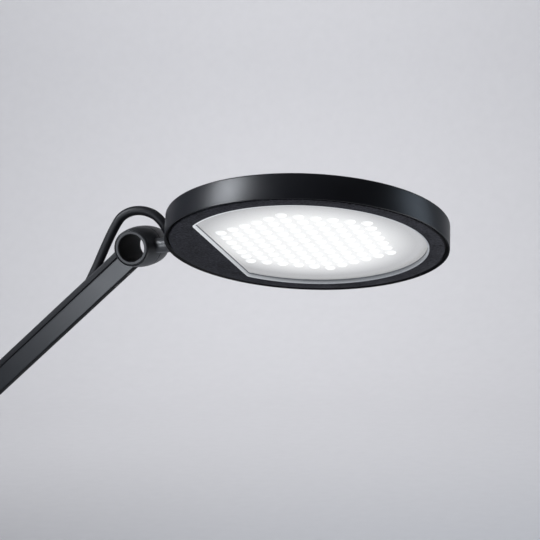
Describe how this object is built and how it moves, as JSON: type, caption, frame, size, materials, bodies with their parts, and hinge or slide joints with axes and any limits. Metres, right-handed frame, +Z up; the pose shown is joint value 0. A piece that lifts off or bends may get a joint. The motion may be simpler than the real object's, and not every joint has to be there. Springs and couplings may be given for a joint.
{
  "type": "piano lamp",
  "caption": "Desk and piano lamp with a round weighted base, two flat swing arms on hollow barrel hinges, an outside flex and a thin round LED head that tilts and rolls.",
  "frame": {"origin": "centre of the base's underside", "axes": "+X the lamp's reach at rest, +Z up, hinge axes along Y"},
  "size_m": [0.5364, 0.224, 0.6282],
  "materials": {
    "frame_black": "satin black powder coat",
    "hinge_black": "satin black anodised",
    "sleeve_black": "blackened steel",
    "steel": "plain",
    "cover_black": "satin black powder coat",
    "iron": "rough",
    "spreader": "plain",
    "rubber_black": "matte",
    "flex_black": "smooth matte sheath",
    "nylon_dark": "plain",
    "duct_black": "satin",
    "bezel_grey": "fine texture",
    "clear": "clear",
    "optic_white": "diffusing",
    "led_white": "lit chip",
    "board_white": "white solder mask",
    "board_green": "green solder mask",
    "bronze": "sintered"
  },
  "bodies": {
    "base": {"foot_pad": "rubber_black", "base_weight": "iron", "base_cover": "cover_black", "base_screws": "steel", "swivel_bush": "bronze", "button_spring": "steel", "button_switch": "nylon_dark", "control_board": "board_green", "power_inlet": "nylon_dark", "base_lead": "flex_black"},
    "button": {"dimmer_button": "nylon_dark"},
    "column": {"column_knuckle": "hinge_black", "swivel_washer": "steel", "swivel_circlip": "steel", "swivel_cap": "frame_black", "cap_grommet": "rubber_black", "shoulder_flex": "flex_black"},
    "lower_arm": {"shoulder_knuckle": "hinge_black", "shoulder_sleeve": "sleeve_black", "shoulder_end_ring": "sleeve_black", "shoulder_wave_washer": "steel", "shoulder_friction_disc": "nylon_dark", "lower_arm_profile": "frame_black", "lower_arm_screws": "steel", "lower_arm_cover": "duct_black", "lower_arm_flex": "flex_black", "elbow_lower_knuckle": "hinge_black"},
    "upper_arm": {"elbow_upper_knuckle": "hinge_black", "elbow_sleeve": "sleeve_black", "elbow_end_ring": "sleeve_black", "elbow_wave_washer": "steel", "elbow_friction_disc": "nylon_dark", "elbow_flex": "flex_black", "upper_arm_profile": "frame_black", "upper_arm_screws": "steel", "upper_arm_cover": "duct_black", "upper_arm_flex": "flex_black", "head_arm_knuckle": "hinge_black", "tilt_sleeve": "sleeve_black", "tilt_end_ring": "sleeve_black", "tilt_wave_washer": "steel", "tilt_friction_disc": "nylon_dark", "head_flex_arm_side": "flex_black"},
    "head_knuckle": {"head_knuckle": "hinge_black", "roll_circlip": "steel", "head_flex_head_side": "flex_black"},
    "head": {"head_housing": "frame_black", "head_bezel": "bezel_grey", "lens": "clear", "lens_clips": "nylon_dark", "led_optic": "optic_white", "led_chips": "led_white", "led_board": "board_white", "heat_spreader": "spreader", "head_screws": "steel", "roll_bush": "bronze", "head_gland": "rubber_black"}
  },
  "joints": [
    {"name": "base_swivel", "type": "hinge", "parent": "base", "child": "column", "pos_m": [0, 0, 0.018], "axis": [0, 0, 1], "range_deg": [-170, 170]},
    {"name": "shoulder_tilt", "type": "hinge", "parent": "column", "child": "lower_arm", "pos_m": [0, -0.0058, 0.06], "axis": [0, 1, 0], "range_deg": [-30, 50], "deforming": ["shoulder_flex"]},
    {"name": "elbow_tilt", "type": "hinge", "parent": "lower_arm", "child": "upper_arm", "pos_m": [-0.07258, -0.0058, 0.35109], "axis": [0, -1, 0], "range_deg": [-60, 55], "deforming": ["elbow_flex"]},
    {"name": "head_tilt", "type": "hinge", "parent": "upper_arm", "child": "head_knuckle", "pos_m": [0.19632, -0.0058, 0.57513], "axis": [0, 1, 0], "range_deg": [-50, 75], "deforming": ["head_flex_arm_side"]},
    {"name": "head_roll", "type": "hinge", "parent": "head_knuckle", "child": "head", "pos_m": [0.19632, -0.0116, 0.57513], "axis": [0.9985, 0, 0.0541], "range_deg": [-52, 97], "deforming": ["head_flex_head_side"]},
    {"name": "dimmer_press", "type": "slide", "parent": "base", "child": "button", "axis": [0, 0, -1], "range_m": [0, 0.0008], "stiffness_N_per_m": 300, "springref_m": -0.0005, "deforming": ["button_spring"]}
  ]
}
